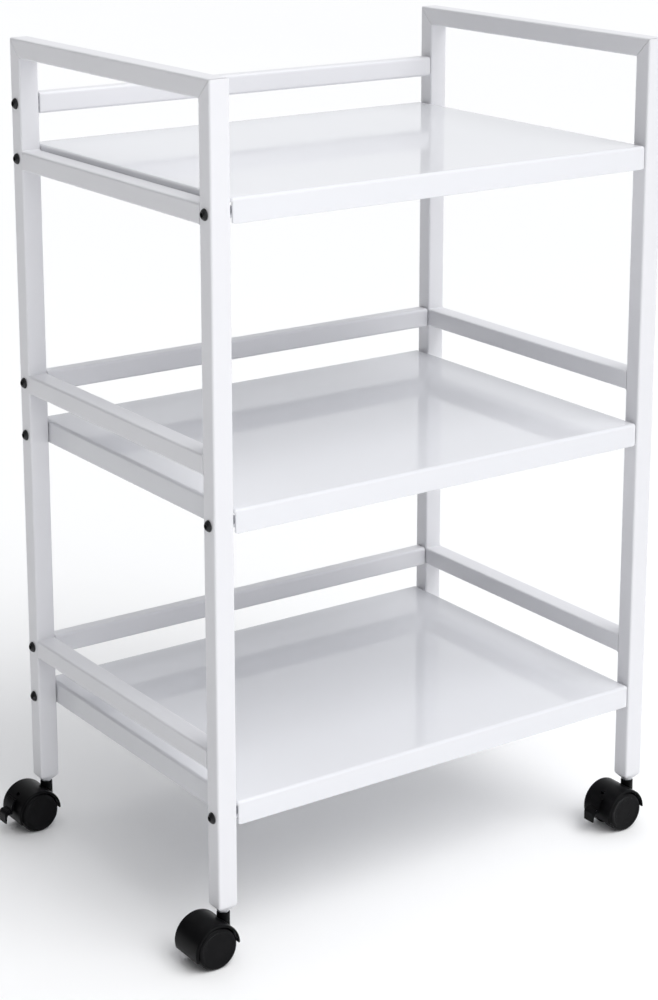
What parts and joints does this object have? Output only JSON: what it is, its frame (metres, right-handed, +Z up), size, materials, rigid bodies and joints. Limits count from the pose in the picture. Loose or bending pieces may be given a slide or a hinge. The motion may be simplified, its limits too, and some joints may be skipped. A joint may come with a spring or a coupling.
{
  "type": "printer stand",
  "caption": "Rolling stand with open shelves between two welded side frames with handle bars, guard rails at the back and sides, and braked twin-wheel casters.",
  "frame": {"origin": "on the floor, under the centre of the whole object's box", "axes": "+X to the right across the stand, +Y from the open front towards the rear rails, +Z up"},
  "size_m": [0.5436, 0.371, 0.79],
  "materials": {
    "white_coat": "smooth semi-gloss white powder coat on steel",
    "black_screw": "black oxide steel button-head screw, slightly oily sheen",
    "zinc": "bright zinc-plated steel",
    "black_nylon": "satin black moulded nylon, fine moulded grain",
    "wheel_nylon": "satin black hard nylon, smooth turned look on the rim"
  },
  "bodies": {
    "stand": {"left_front_post": "white_coat", "left_rear_post": "white_coat", "right_front_post": "white_coat", "right_rear_post": "white_coat", "left_handle_bar": "white_coat", "right_handle_bar": "white_coat", "left_lower_rail": "white_coat", "left_middle_rail": "white_coat", "left_top_rail": "white_coat", "right_lower_rail": "white_coat", "right_middle_rail": "white_coat", "right_top_rail": "white_coat", "rear_lower_rail": "white_coat", "rear_middle_rail": "white_coat", "rear_top_rail": "white_coat", "lower_shelf": "white_coat", "middle_shelf": "white_coat", "top_shelf": "white_coat", "lower_shelf_screws": "black_screw", "middle_shelf_screws": "black_screw", "top_shelf_screws": "black_screw", "shelf_nuts": "zinc", "rail_screws": "black_screw", "rail_end_inserts": "zinc", "front_left_foot_plug": "white_coat", "front_left_stem": "zinc", "front_right_foot_plug": "white_coat", "front_right_stem": "zinc", "rear_left_foot_plug": "white_coat", "rear_left_stem": "zinc", "rear_right_foot_plug": "white_coat", "rear_right_stem": "zinc"},
    "front_left_caster": {"front_left_housing": "black_nylon", "front_left_axle": "zinc"},
    "front_left_fore_wheel": {"front_left_fore_wheel": "wheel_nylon"},
    "front_left_aft_wheel": {"front_left_aft_wheel": "wheel_nylon"},
    "front_right_caster": {"front_right_housing": "black_nylon", "front_right_axle": "zinc", "front_right_pedal_pin": "zinc"},
    "front_right_fore_wheel": {"front_right_fore_wheel": "wheel_nylon"},
    "front_right_aft_wheel": {"front_right_aft_wheel": "wheel_nylon"},
    "front_right_brake_pedal": {"front_right_brake_pedal": "black_nylon"},
    "rear_left_caster": {"rear_left_housing": "black_nylon", "rear_left_axle": "zinc", "rear_left_pedal_pin": "zinc"},
    "rear_left_fore_wheel": {"rear_left_fore_wheel": "wheel_nylon"},
    "rear_left_aft_wheel": {"rear_left_aft_wheel": "wheel_nylon"},
    "rear_left_brake_pedal": {"rear_left_brake_pedal": "black_nylon"},
    "rear_right_caster": {"rear_right_housing": "black_nylon", "rear_right_axle": "zinc"},
    "rear_right_fore_wheel": {"rear_right_fore_wheel": "wheel_nylon"},
    "rear_right_aft_wheel": {"rear_right_aft_wheel": "wheel_nylon"}
  },
  "joints": [
    {"name": "front_left_swivel", "type": "hinge", "parent": "stand", "child": "front_left_caster", "pos_m": [-0.22155, -0.166, 0.037], "axis": [0, 0, 1], "continuous": true},
    {"name": "front_left_fore_wheel_spin", "type": "hinge", "parent": "front_left_caster", "child": "front_left_fore_wheel", "pos_m": [-0.23855, -0.166, 0.02], "axis": [0, 1, 0], "continuous": true},
    {"name": "front_left_aft_wheel_spin", "type": "hinge", "parent": "front_left_caster", "child": "front_left_aft_wheel", "pos_m": [-0.23855, -0.166, 0.02], "axis": [0, 1, 0], "continuous": true},
    {"name": "front_right_swivel", "type": "hinge", "parent": "stand", "child": "front_right_caster", "pos_m": [0.25845, -0.166, 0.037], "axis": [0, 0, 1], "continuous": true},
    {"name": "front_right_fore_wheel_spin", "type": "hinge", "parent": "front_right_caster", "child": "front_right_fore_wheel", "pos_m": [0.24145, -0.166, 0.02], "axis": [0, 1, 0], "continuous": true},
    {"name": "front_right_aft_wheel_spin", "type": "hinge", "parent": "front_right_caster", "child": "front_right_aft_wheel", "pos_m": [0.24145, -0.166, 0.02], "axis": [0, 1, 0], "continuous": true},
    {"name": "front_right_pedal_press", "type": "hinge", "parent": "front_right_caster", "child": "front_right_brake_pedal", "pos_m": [0.22935, -0.166, 0.027], "axis": [0, -1, 0], "range_deg": [0, 10]},
    {"name": "rear_left_swivel", "type": "hinge", "parent": "stand", "child": "rear_left_caster", "pos_m": [-0.22155, 0.166, 0.037], "axis": [0, 0, 1], "continuous": true},
    {"name": "rear_left_fore_wheel_spin", "type": "hinge", "parent": "rear_left_caster", "child": "rear_left_fore_wheel", "pos_m": [-0.23855, 0.166, 0.02], "axis": [0, 1, 0], "continuous": true},
    {"name": "rear_left_aft_wheel_spin", "type": "hinge", "parent": "rear_left_caster", "child": "rear_left_aft_wheel", "pos_m": [-0.23855, 0.166, 0.02], "axis": [0, 1, 0], "continuous": true},
    {"name": "rear_left_pedal_press", "type": "hinge", "parent": "rear_left_caster", "child": "rear_left_brake_pedal", "pos_m": [-0.25065, 0.166, 0.027], "axis": [0, -1, 0], "range_deg": [0, 10]},
    {"name": "rear_right_swivel", "type": "hinge", "parent": "stand", "child": "rear_right_caster", "pos_m": [0.25845, 0.166, 0.037], "axis": [0, 0, 1], "continuous": true},
    {"name": "rear_right_fore_wheel_spin", "type": "hinge", "parent": "rear_right_caster", "child": "rear_right_fore_wheel", "pos_m": [0.24145, 0.166, 0.02], "axis": [0, 1, 0], "continuous": true},
    {"name": "rear_right_aft_wheel_spin", "type": "hinge", "parent": "rear_right_caster", "child": "rear_right_aft_wheel", "pos_m": [0.24145, 0.166, 0.02], "axis": [0, 1, 0], "continuous": true}
  ]
}
